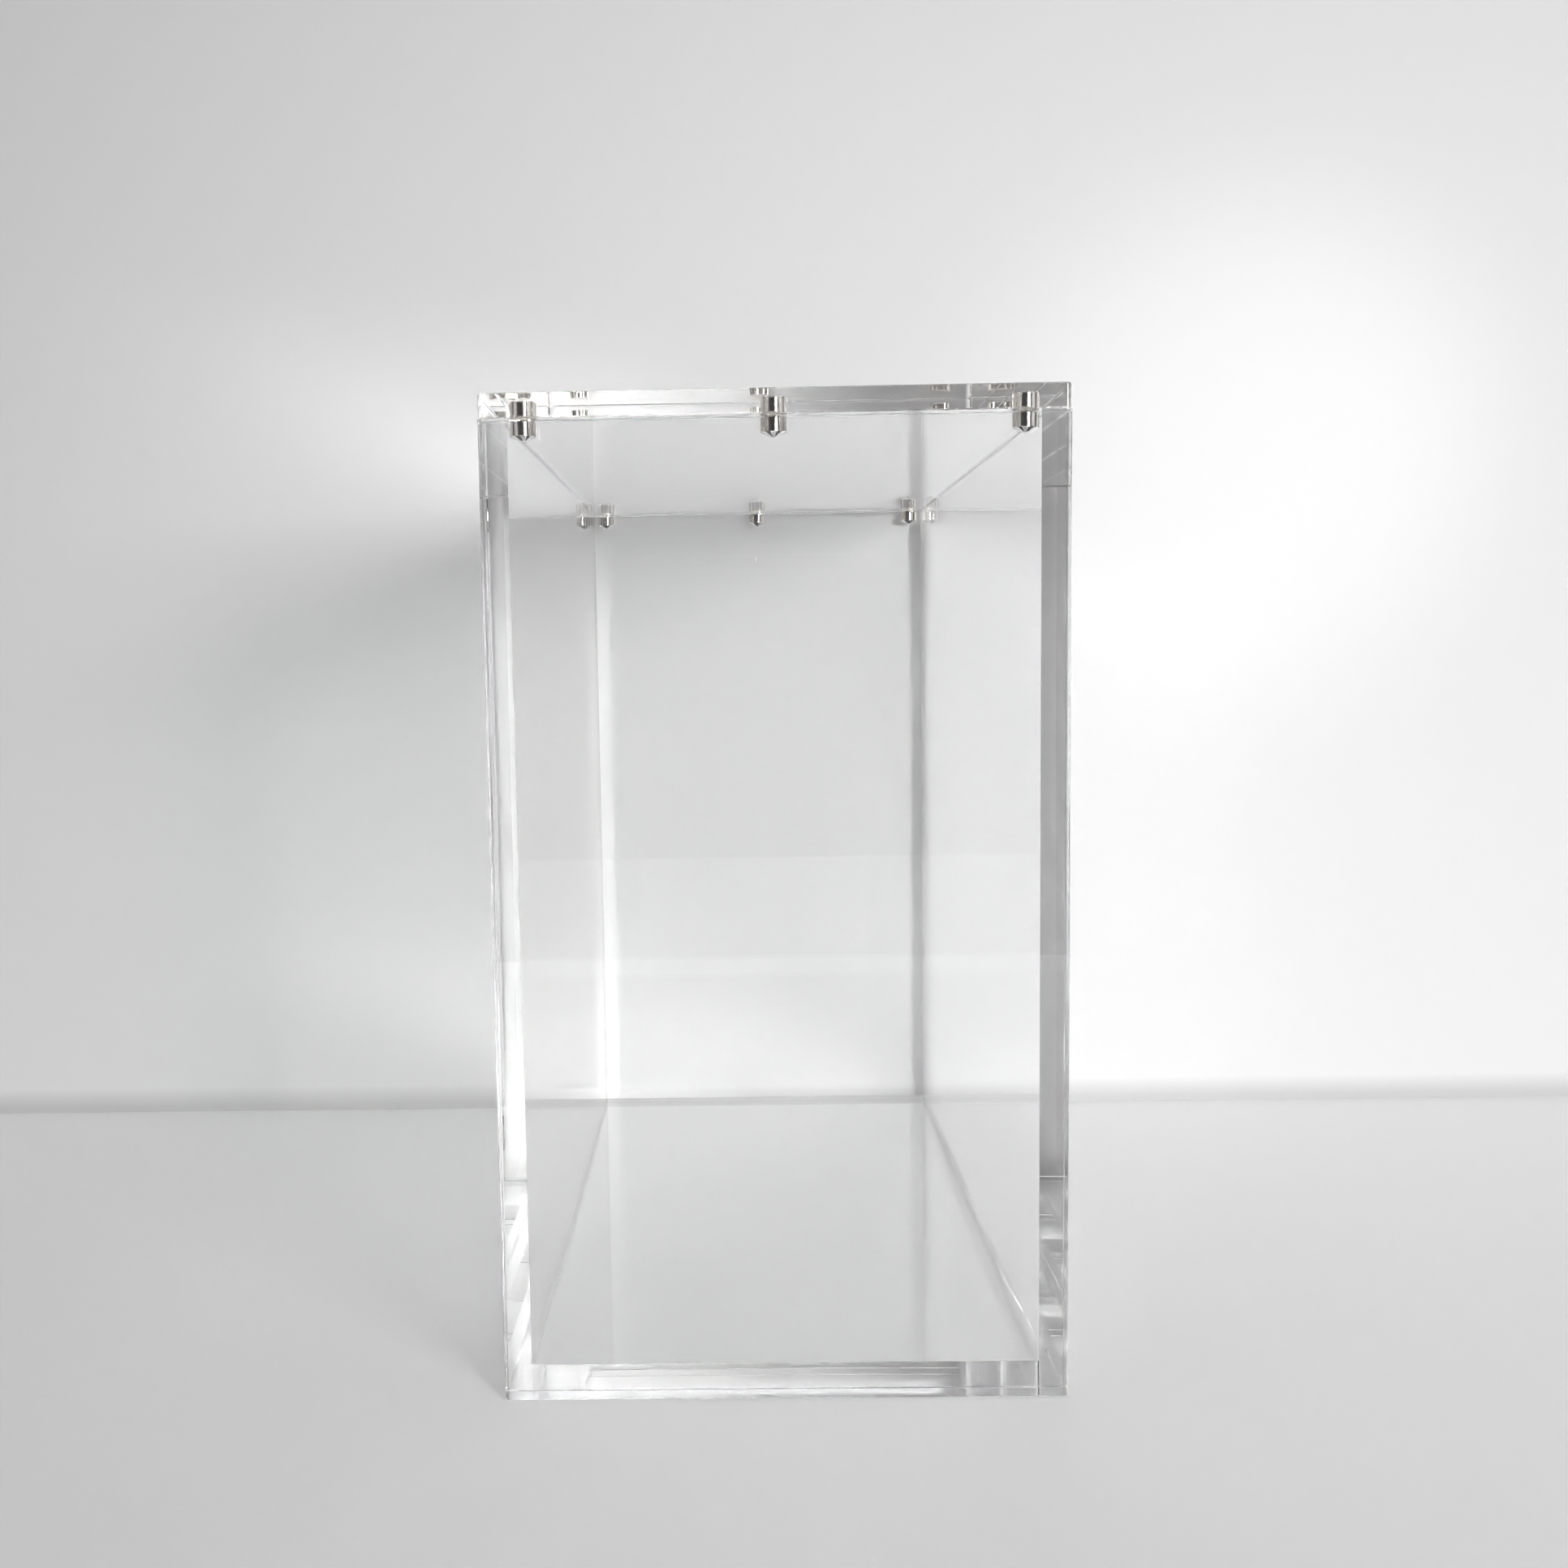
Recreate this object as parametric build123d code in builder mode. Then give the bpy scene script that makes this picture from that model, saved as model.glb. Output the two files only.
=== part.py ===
"""Clear acrylic display case: a bonded five-panel box and a loose flat lid.

Both the box and the lid carry small disc magnets in blind drilled holes, three
along the front and three along the rear, so the lid drops into place and holds.

Units are millimetres.  The origin is at the centre of the underside, X runs
across the width, Y from the front (-Y) to the rear (+Y), and Z is up.
"""
import math
import os

from build123d import *

os.makedirs("parts", exist_ok=True)

# ---- driving dimensions ----------------------------------------------------
WIDTH = 92.0            # outside width of box and lid
DEPTH = 168.0           # outside depth of box and lid
BODY_HEIGHT = 158.5     # underside to the rim the lid rests on
END_THICK = 5.6         # front and rear panels, thick enough to take the magnets
SIDE_THICK = 4.0        # left and right panels
BASE_THICK = 4.5        # floor
LID_THICK = 4.0         # lid plate
EDGE_EASE = 0.25        # chamfer on the polished outside edges
JOINT_EASE = 0.12       # broken edge left along the outside of each bonded joint
LID_CORNER_R = 0.9      # rounding of the lid's four upright corners

MAGNET_DIA = 4.2
MAGNET_THICK = 2.4
MAGNET_EASE = 0.15      # broken edge of the plated disc
HOLE_DIA = 4.4          # drilled magnet hole
HOLE_DEPTH = 2.6        # full-diameter depth of the hole
DRILL_POINT = 135.0     # included angle of the drill's conical point
MAGNET_INSET = 6.9      # outer magnets' centres from the outside of the box

# ---- derived positions -----------------------------------------------------
HOLE_R = HOLE_DIA / 2
HALF_POINT = math.radians(DRILL_POINT / 2)
POINT_DEPTH = HOLE_R / math.tan(HALF_POINT)
END_Y = DEPTH / 2 - END_THICK / 2           # mid-plane of the front and rear panels
SIDE_X = WIDTH / 2 - SIDE_THICK / 2         # mid-plane of the side panels
INNER_DEPTH = DEPTH - 2 * END_THICK
INNER_WIDTH = WIDTH - 2 * SIDE_THICK
MAGNET_X = WIDTH / 2 - MAGNET_INSET

# The disc's broken edge seats on the drill point's cone, just clear of the wall.
SEAT_DEPTH = HOLE_DEPTH + (HOLE_R - MAGNET_DIA / 2 + MAGNET_EASE) / math.tan(HALF_POINT) - 0.01

COLUMNS = {"left": -MAGNET_X, "centre": 0.0, "right": MAGNET_X}
ROWS = {"front": -END_Y, "rear": END_Y}


def drill_row(y, into):
    """Three blind magnet holes at the rim height; into is +1 upwards, -1 downwards."""
    for x in COLUMNS.values():
        with Locations((x, y, BODY_HEIGHT + into * HOLE_DEPTH / 2)):
            Cylinder(HOLE_R, HOLE_DEPTH, mode=Mode.SUBTRACT)
        tip = Location((x, y, BODY_HEIGHT + into * (HOLE_DEPTH + POINT_DEPTH / 2)),
                       (0 if into > 0 else 180, 0, 0))
        with Locations(tip):
            Cone(HOLE_R, 0, POINT_DEPTH, mode=Mode.SUBTRACT)


# ---- box: front and rear panels, full width and height -----------------------
with BuildPart() as front_panel:
    with Locations((0, -END_Y, BODY_HEIGHT / 2)):
        Box(WIDTH, END_THICK, BODY_HEIGHT)
    chamfer(front_panel.faces().sort_by(Axis.Y)[0].edges(), EDGE_EASE)
    chamfer(front_panel.faces().sort_by(Axis.Y)[-1].edges(), JOINT_EASE)
    drill_row(-END_Y, -1)
front_panel.part.label = "front_panel"
export_step(front_panel.part, "parts/front_panel.step")

with BuildPart() as rear_panel:
    with Locations((0, END_Y, BODY_HEIGHT / 2)):
        Box(WIDTH, END_THICK, BODY_HEIGHT)
    chamfer(rear_panel.faces().sort_by(Axis.Y)[-1].edges(), EDGE_EASE)
    chamfer(rear_panel.faces().sort_by(Axis.Y)[0].edges(), JOINT_EASE)
    drill_row(END_Y, -1)
rear_panel.part.label = "rear_panel"
export_step(rear_panel.part, "parts/rear_panel.step")

# ---- box: side panels, bonded between the front and rear panels --------------
with BuildPart() as left_panel:
    with Locations((-SIDE_X, 0, BODY_HEIGHT / 2)):
        Box(SIDE_THICK, INNER_DEPTH, BODY_HEIGHT)
    outer_runs = left_panel.faces().sort_by(Axis.X)[0].edges().filter_by(Axis.Y)
    chamfer(outer_runs, EDGE_EASE)
left_panel.part.label = "left_panel"
export_step(left_panel.part, "parts/left_panel.step")

with BuildPart() as right_panel:
    with Locations((SIDE_X, 0, BODY_HEIGHT / 2)):
        Box(SIDE_THICK, INNER_DEPTH, BODY_HEIGHT)
    outer_runs = right_panel.faces().sort_by(Axis.X)[-1].edges().filter_by(Axis.Y)
    chamfer(outer_runs, EDGE_EASE)
right_panel.part.label = "right_panel"
export_step(right_panel.part, "parts/right_panel.step")

# ---- box: floor, bonded inside the four walls --------------------------------
with BuildPart() as base_panel:
    with Locations((0, 0, BASE_THICK / 2)):
        Box(INNER_WIDTH, INNER_DEPTH, BASE_THICK)
base_panel.part.label = "base_panel"
export_step(base_panel.part, "parts/base_panel.step")

# ---- lid: one flat plate, drilled from below ---------------------------------
with BuildPart() as lid_panel:
    with Locations((0, 0, BODY_HEIGHT + LID_THICK / 2)):
        Box(WIDTH, DEPTH, LID_THICK)
    fillet(lid_panel.edges().filter_by(Axis.Z), LID_CORNER_R)
    chamfer(lid_panel.faces().sort_by(Axis.Z)[-1].edges(), EDGE_EASE)
    chamfer(lid_panel.faces().sort_by(Axis.Z)[0].edges(), EDGE_EASE)
    for row_y in ROWS.values():
        drill_row(row_y, 1)
lid_panel.part.label = "lid_panel"
export_step(lid_panel.part, "parts/lid_panel.step")

# ---- nickel-plated disc magnets, six in the box and six in the lid -----------
for owner, into in (("case", -1), ("lid", 1)):
    mid_z = BODY_HEIGHT + into * (SEAT_DEPTH - MAGNET_THICK / 2)
    for row, row_y in ROWS.items():
        for column, column_x in COLUMNS.items():
            node = f"{owner}_magnet_{row}_{column}"
            with BuildPart() as magnet:
                with Locations((column_x, row_y, mid_z)):
                    Cylinder(MAGNET_DIA / 2, MAGNET_THICK)
                chamfer(magnet.edges().filter_by(GeomType.CIRCLE), MAGNET_EASE)
            magnet.part.label = node
            export_step(magnet.part, f"parts/{node}.step")
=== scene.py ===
import math

import bmesh
import bpy
from mathutils import Matrix, Vector


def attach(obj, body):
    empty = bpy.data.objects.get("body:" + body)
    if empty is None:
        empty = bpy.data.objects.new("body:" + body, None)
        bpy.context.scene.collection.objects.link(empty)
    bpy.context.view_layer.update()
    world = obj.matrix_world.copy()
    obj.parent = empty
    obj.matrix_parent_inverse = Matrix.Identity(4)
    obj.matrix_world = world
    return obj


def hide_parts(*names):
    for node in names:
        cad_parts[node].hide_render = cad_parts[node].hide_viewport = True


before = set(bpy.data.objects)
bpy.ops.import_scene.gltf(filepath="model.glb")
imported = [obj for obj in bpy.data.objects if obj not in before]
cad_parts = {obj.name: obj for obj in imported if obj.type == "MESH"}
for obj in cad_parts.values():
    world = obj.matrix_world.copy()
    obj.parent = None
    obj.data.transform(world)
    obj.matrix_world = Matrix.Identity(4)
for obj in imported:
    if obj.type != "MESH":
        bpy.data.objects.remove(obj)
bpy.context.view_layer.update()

scene = bpy.context.scene

# ---- sizes shared with the CAD, in metres -----------------------------------------
WIDTH, DEPTH, BODY_H, LID_T = 0.092, 0.168, 0.1585, 0.004
END_T, SIDE_T, BASE_T = 0.0056, 0.004, 0.0045
BOND_EASE = 0.00012              # edge ease where two panels are cemented together
IN_X = WIDTH / 2 - SIDE_T        # inner faces of the side panels
IN_Y = DEPTH / 2 - END_T         # inner faces of the end panels
HOLE_R = 0.0022
MAGNET_X, MAGNET_Y = WIDTH / 2 - 0.0069, DEPTH / 2 - END_T / 2
LID_GAP = 0.00005                # air left between the lid and the box

# ---- limits for telling faces apart -------------------------------------------------
SAME_PLACE = 2e-5                # two coordinates nearer than this are the same
WELD, CUT = 1e-6, 1e-7           # vertex merge and knife distances
FACING = 0.9                     # a normal faces an axis from this much of it
UPRIGHT = 0.3                    # a hole's wall has less vertical normal than this
HOLE_MARGIN = 0.0001
DEEP_IN_LID = 0.001              # above the lid holes' rims, below their drill points
SHARP_EDGE = math.radians(25)

# ---- materials ------------------------------------------------------------------------
ACRYLIC_IOR = 1.49


def new_material(name):
    """A material with nothing but its output, whose surface socket comes back too."""
    mat = bpy.data.materials.new(name)
    mat.use_nodes = True
    nodes = mat.node_tree.nodes
    nodes.clear()
    out = nodes.new("ShaderNodeOutputMaterial")
    return mat, nodes, mat.node_tree.links.new, out.inputs["Surface"]


def principled(nodes, colour, rough, **inputs):
    """A Principled shader; an underscore in an input's name stands for a space."""
    bsdf = nodes.new("ShaderNodeBsdfPrincipled")
    bsdf.inputs["Base Color"].default_value = (*colour, 1)
    bsdf.inputs["Roughness"].default_value = rough
    for name, value in inputs.items():
        bsdf.inputs[name.replace("_", " ")].default_value = value
    return bsdf


def blend(nodes, link, factor, first, second):
    """Mix two shaders; factor is a number or an output socket."""
    mix = nodes.new("ShaderNodeMixShader")
    if isinstance(factor, float):
        mix.inputs[0].default_value = factor
    else:
        link(factor, mix.inputs[0])
    link(first.outputs[0], mix.inputs[1])
    link(second.outputs[0], mix.inputs[2])
    return mix


def polished(name, colour, rough, **inputs):
    """One plain Principled surface."""
    mat, nodes, link, surface_in = new_material(name)
    link(principled(nodes, colour, rough, **inputs).outputs[0], surface_in)
    return mat


def bonded(name, clearness=1.0, haze=0.0):
    """Cemented face: light goes straight on, less what the cement takes or scatters."""
    mat, nodes, link, surface_in = new_material(name)
    cement = nodes.new("ShaderNodeBsdfTransparent")
    cement.inputs["Color"].default_value = (clearness, clearness, clearness, 1)
    if haze:
        milky = nodes.new("ShaderNodeBsdfDiffuse")
        milky.inputs["Color"].default_value = (0.7, 0.7, 0.72, 1)
        cement = blend(nodes, link, haze, cement, milky)
    link(cement.outputs[0], surface_in)
    return mat


ACRYLIC = polished("acrylic", (1, 1, 1), 0.0, Transmission_Weight=1.0, IOR=ACRYLIC_IOR)
NICKEL = polished("nickel", (0.80, 0.77, 0.73), 0.12, Metallic=1.0)
OPEN, CLEAR_JOINT, SIDE_JOINT, FLOOR_JOINT = range(4)
FACE_MATERIALS = (ACRYLIC, bonded("bonded_joint"), bonded("side_joint", clearness=0.97),
                  bonded("floor_joint", haze=0.09))

# ---- acrylic panels -------------------------------------------------------------------


def near(a, b):
    return abs(a - b) < SAME_PLACE


def inside_lid(c):
    return BODY_H + DEEP_IN_LID < c.z < BODY_H + LID_T - HOLE_MARGIN


def is_glued_hole(c, n):
    """True for what clear glue fills in a magnet hole: its wall, and the lid's drill points."""
    x = min(abs(c.x), abs(abs(c.x) - MAGNET_X))
    in_hole = math.hypot(x, abs(c.y) - MAGNET_Y) < HOLE_R + HOLE_MARGIN
    return in_hole and (abs(n.z) < UPRIGHT or inside_lid(c))


def is_joint(node, c, n):
    """True for the part of a face that is cemented to another panel or to a magnet."""
    if is_glued_hole(c, n):
        return True
    faces_x, faces_y = abs(n.x) > FACING, abs(n.y) > FACING
    on_end_panel = (near(abs(c.y), IN_Y) and faces_y
                    and BOND_EASE < c.z < BODY_H - BOND_EASE
                    and abs(c.x) < WIDTH / 2 - BOND_EASE)
    if node in ("front_panel", "rear_panel"):
        return on_end_panel and (abs(c.x) > IN_X or c.z < BASE_T)
    if node in ("left_panel", "right_panel"):
        return on_end_panel or (near(abs(c.x), IN_X) and faces_x and c.z < BASE_T)
    if node == "base_panel":
        return faces_x or (faces_y and c.z > BOND_EASE)
    return False


def surface(node, c, n):
    """Index in FACE_MATERIALS for the face of a panel with centre c and normal n."""
    if not is_joint(node, c, n):
        return OPEN
    if abs(n.x) > FACING and c.z < BASE_T:
        return FLOOR_JOINT
    return SIDE_JOINT if abs(n.y) > FACING and abs(c.x) > IN_X else CLEAR_JOINT


def panel(node):
    """A polished panel on the CAD panel's own shape, with its cemented faces marked."""
    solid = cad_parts[node].data
    mesh = bpy.data.meshes.new(node + "_clear")
    mesh.from_pydata([v.co[:] for v in solid.vertices], [],
                     [p.vertices[:] for p in solid.polygons])
    bm = bmesh.new()
    bm.from_mesh(mesh)
    bmesh.ops.remove_doubles(bm, verts=bm.verts, dist=WELD)
    if node == "lid_panel":
        for v in bm.verts:
            if near(v.co.z, BODY_H):
                v.co.z += LID_GAP
    else:
        # knife lines along the outlines of the neighbouring panels' cemented faces
        cuts = [("x", side * at) for at in (IN_X, WIDTH / 2 - BOND_EASE) for side in (-1, 1)]
        cuts += [("z", BOND_EASE), ("z", BASE_T), ("z", BODY_H - BOND_EASE)]
        for axis, at in cuts:
            normal = Vector((axis == "x", 0, axis == "z"))
            bmesh.ops.bisect_plane(bm, geom=bm.verts[:] + bm.edges[:] + bm.faces[:],
                                   dist=CUT, plane_co=normal * at, plane_no=normal)
    bmesh.ops.recalc_face_normals(bm, faces=bm.faces[:])
    for face in bm.faces:
        face.smooth = True
        face.material_index = surface(node, face.calc_center_median(), face.normal)
    for mat in FACE_MATERIALS:
        mesh.materials.append(mat)
    bm.to_mesh(mesh)
    bm.free()
    mesh.set_sharp_from_angle(angle=SHARP_EDGE)
    piece = bpy.data.objects.new(node + "_clear", mesh)
    scene.collection.objects.link(piece)
    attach(piece, "lid" if node.startswith("lid") else "case")
    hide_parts(node)


for node in ("front_panel", "rear_panel", "left_panel", "right_panel", "base_panel", "lid_panel"):
    panel(node)

# ---- magnets --------------------------------------------------------------------------
for name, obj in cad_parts.items():
    if "_magnet_" in name:
        obj.data.materials.clear()
        obj.data.materials.append(NICKEL)

# ---- desk, wall and room floor ----------------------------------------------------------
WALL_Y = DEPTH / 2 + 0.0007      # the case stands just clear of the wall
DESK_FRONT = -0.46
DESK_Z, ROOM_Z = -0.0001, -0.72
ROOM_HALF, WALL_TOP = 3, 2
PAINTED_SHADE_LOW, PAINTED_SHADE_HIGH = 0.0015, 0.0065    # heights between which painted shade darkens the wall's foot, where it meets the desk
# the wall's colour at its foot, darkened by painted shade, and its own colour above it
PAINTED_SHADE_AT_FOOT, WALL_SHADE = 0.64, 0.86


def wall_material():
    """Matte white, with painted shade darkening its foot, and invisible from behind."""
    mat, nodes, link, surface_in = new_material("wall_paint")
    bsdf = principled(nodes, (WALL_SHADE, WALL_SHADE, WALL_SHADE), 0.9)
    geometry = nodes.new("ShaderNodeNewGeometry")
    height = nodes.new("ShaderNodeSeparateXYZ")
    # painted shade: the wall's colour falls to the darker value towards its foot
    shade = nodes.new("ShaderNodeMapRange")
    shade.inputs["From Min"].default_value = PAINTED_SHADE_LOW
    shade.inputs["From Max"].default_value = PAINTED_SHADE_HIGH
    shade.inputs["To Min"].default_value = PAINTED_SHADE_AT_FOOT
    shade.inputs["To Max"].default_value = WALL_SHADE
    link(geometry.outputs["Position"], height.inputs[0])
    link(height.outputs["Z"], shade.inputs["Value"])
    link(shade.outputs["Result"], bsdf.inputs["Base Color"])
    nothing = nodes.new("ShaderNodeBsdfTransparent")
    link(blend(nodes, link, geometry.outputs["Backfacing"], bsdf, nothing).outputs[0], surface_in)
    return mat


def sheet(name, corners, mat):
    """A flat sheet of the stage."""
    mesh = bpy.data.meshes.new(name)
    mesh.from_pydata(corners, [], [tuple(range(len(corners)))])
    mesh.materials.append(mat)
    obj = bpy.data.objects.new(name, mesh)
    scene.collection.objects.link(obj)


def level_sheet(name, y0, y1, z, mat):
    """A horizontal sheet from y0 to y1, as wide as the room."""
    sheet(name, [(-ROOM_HALF, y0, z), (ROOM_HALF, y0, z), (ROOM_HALF, y1, z), (-ROOM_HALF, y1, z)],
          mat)


desk_paint = polished("desk_paint", (0.88, 0.88, 0.88), 0.7)
room_paint = polished("room_paint", (0.75, 0.75, 0.75), 0.9)
level_sheet("desk", DESK_FRONT, WALL_Y, DESK_Z, desk_paint)
level_sheet("desk_behind_wall", WALL_Y, ROOM_HALF, DESK_Z, desk_paint)
level_sheet("room_floor", -ROOM_HALF, ROOM_HALF, ROOM_Z, room_paint)
sheet("wall", [(-ROOM_HALF, WALL_Y, ROOM_Z), (ROOM_HALF, WALL_Y, ROOM_Z),
               (ROOM_HALF, WALL_Y, WALL_TOP), (-ROOM_HALF, WALL_Y, WALL_TOP)], wall_material())

# ---- light ----------------------------------------------------------------------------
WINDOW_AZIMUTH, WINDOW_ELEVATION = math.radians(33), math.radians(11)   # from the front, rightward
WINDOW_DISTANCE, EYE_HEIGHT = 1.25, 0.1
WINDOW_AIM = (0.07, 0.08, 0.10)
WINDOW_SIZE = (0.40, 0.32)
WINDOW_WATTS, WINDOW_SPREAD = 1.08, math.radians(54)
GLOW_AT, GLOW_AIM = (0.32, -0.50, 0.30), (0.128, WALL_Y, 0.176)
GLOW_WATTS, GLOW_ANGLE, GLOW_RADIUS = 2.8, math.radians(15), 0.02


def lamp(name, kind, at, aim, watts):
    """A lamp at one point, aimed at another."""
    data = bpy.data.lights.new(name, kind)
    data.energy = watts
    obj = bpy.data.objects.new(name, data)
    obj.location = at
    obj.rotation_euler = (Vector(aim) - Vector(at)).to_track_quat("-Z", "Y").to_euler()
    scene.collection.objects.link(obj)
    return data


flat = WINDOW_DISTANCE * math.cos(WINDOW_ELEVATION)
window_at = (flat * math.sin(WINDOW_AZIMUTH), -flat * math.cos(WINDOW_AZIMUTH),
             EYE_HEIGHT + WINDOW_DISTANCE * math.sin(WINDOW_ELEVATION))
window = lamp("window", "AREA", window_at, WINDOW_AIM, WINDOW_WATTS)
window.shape = "RECTANGLE"
window.size, window.size_y = WINDOW_SIZE
window.spread = WINDOW_SPREAD

# the bright patch on the wall to the right of the case
glow = lamp("wall_glow", "SPOT", GLOW_AT, GLOW_AIM, GLOW_WATTS)
glow.spot_size, glow.spot_blend, glow.shadow_soft_size = GLOW_ANGLE, 1.0, GLOW_RADIUS

# a soft ceiling, a dim level view and a paler ground: (low z, high z, value below, value above)
SKY_FADES = ((0.4, 0.8, 0.05, 0.75), (-0.26, -0.08, 0.31, 0.0))
world = bpy.data.worlds.new("room")
scene.world = world
world.use_nodes = True
sky, wire = world.node_tree.nodes, world.node_tree.links.new
sky["Background"].inputs["Color"].default_value = (1, 1, 1, 1)
where = sky.new("ShaderNodeTexCoord")
split = sky.new("ShaderNodeSeparateXYZ")
total = sky.new("ShaderNodeMath")
total.operation = "ADD"
wire(where.outputs["Generated"], split.inputs[0])
for term, (low_z, high_z, below, above) in enumerate(SKY_FADES):
    fade = sky.new("ShaderNodeMapRange")
    fade.interpolation_type = "SMOOTHSTEP"
    fade.inputs["From Min"].default_value = low_z
    fade.inputs["From Max"].default_value = high_z
    fade.inputs["To Min"].default_value = below
    fade.inputs["To Max"].default_value = above
    wire(split.outputs["Z"], fade.inputs["Value"])
    wire(fade.outputs["Result"], total.inputs[term])
wire(total.outputs[0], sky["Background"].inputs["Strength"])

# light goes through many polished faces here, and the lamps' focused light is kept whole
CLEAR_BOUNCES = 96
scene.view_settings.view_transform = "Standard"
scene.cycles.max_bounces = CLEAR_BOUNCES
scene.cycles.transmission_bounces = CLEAR_BOUNCES
scene.cycles.glossy_bounces = CLEAR_BOUNCES
scene.cycles.transparent_max_bounces = CLEAR_BOUNCES
scene.cycles.diffuse_bounces = 4
scene.cycles.blur_glossy = 0.0
scene.cycles.sample_clamp_indirect = 0.0

# ---- camera ---------------------------------------------------------------------------
FOCAL_PX, IMAGE_PX = 1906.4, 1932
SENSOR_MM = 36
SHIFT_X, SHIFT_Y = 0.0488, 0.0115
YAW, PITCH, ROLL = -0.0175, 0.0910, -0.0162
CAMERA_AT = (-0.00697, -0.3277, 0.1206)
forward = Vector((math.sin(YAW) * math.cos(PITCH), math.cos(YAW) * math.cos(PITCH),
                  -math.sin(PITCH)))
level = Vector((math.cos(YAW), -math.sin(YAW), 0))
right = math.cos(ROLL) * level + math.sin(ROLL) * level.cross(forward)
up = right.cross(forward)
turn = Matrix((right, up, -forward)).transposed().to_4x4()

camera_data = bpy.data.cameras.new("camera")
camera_data.sensor_width = SENSOR_MM
camera_data.lens = SENSOR_MM * FOCAL_PX / IMAGE_PX
camera_data.shift_x, camera_data.shift_y = SHIFT_X, SHIFT_Y
camera_data.clip_start = 0.01
camera = bpy.data.objects.new("camera", camera_data)
camera.matrix_world = Matrix.Translation(CAMERA_AT) @ turn
scene.collection.objects.link(camera)
scene.camera = camera
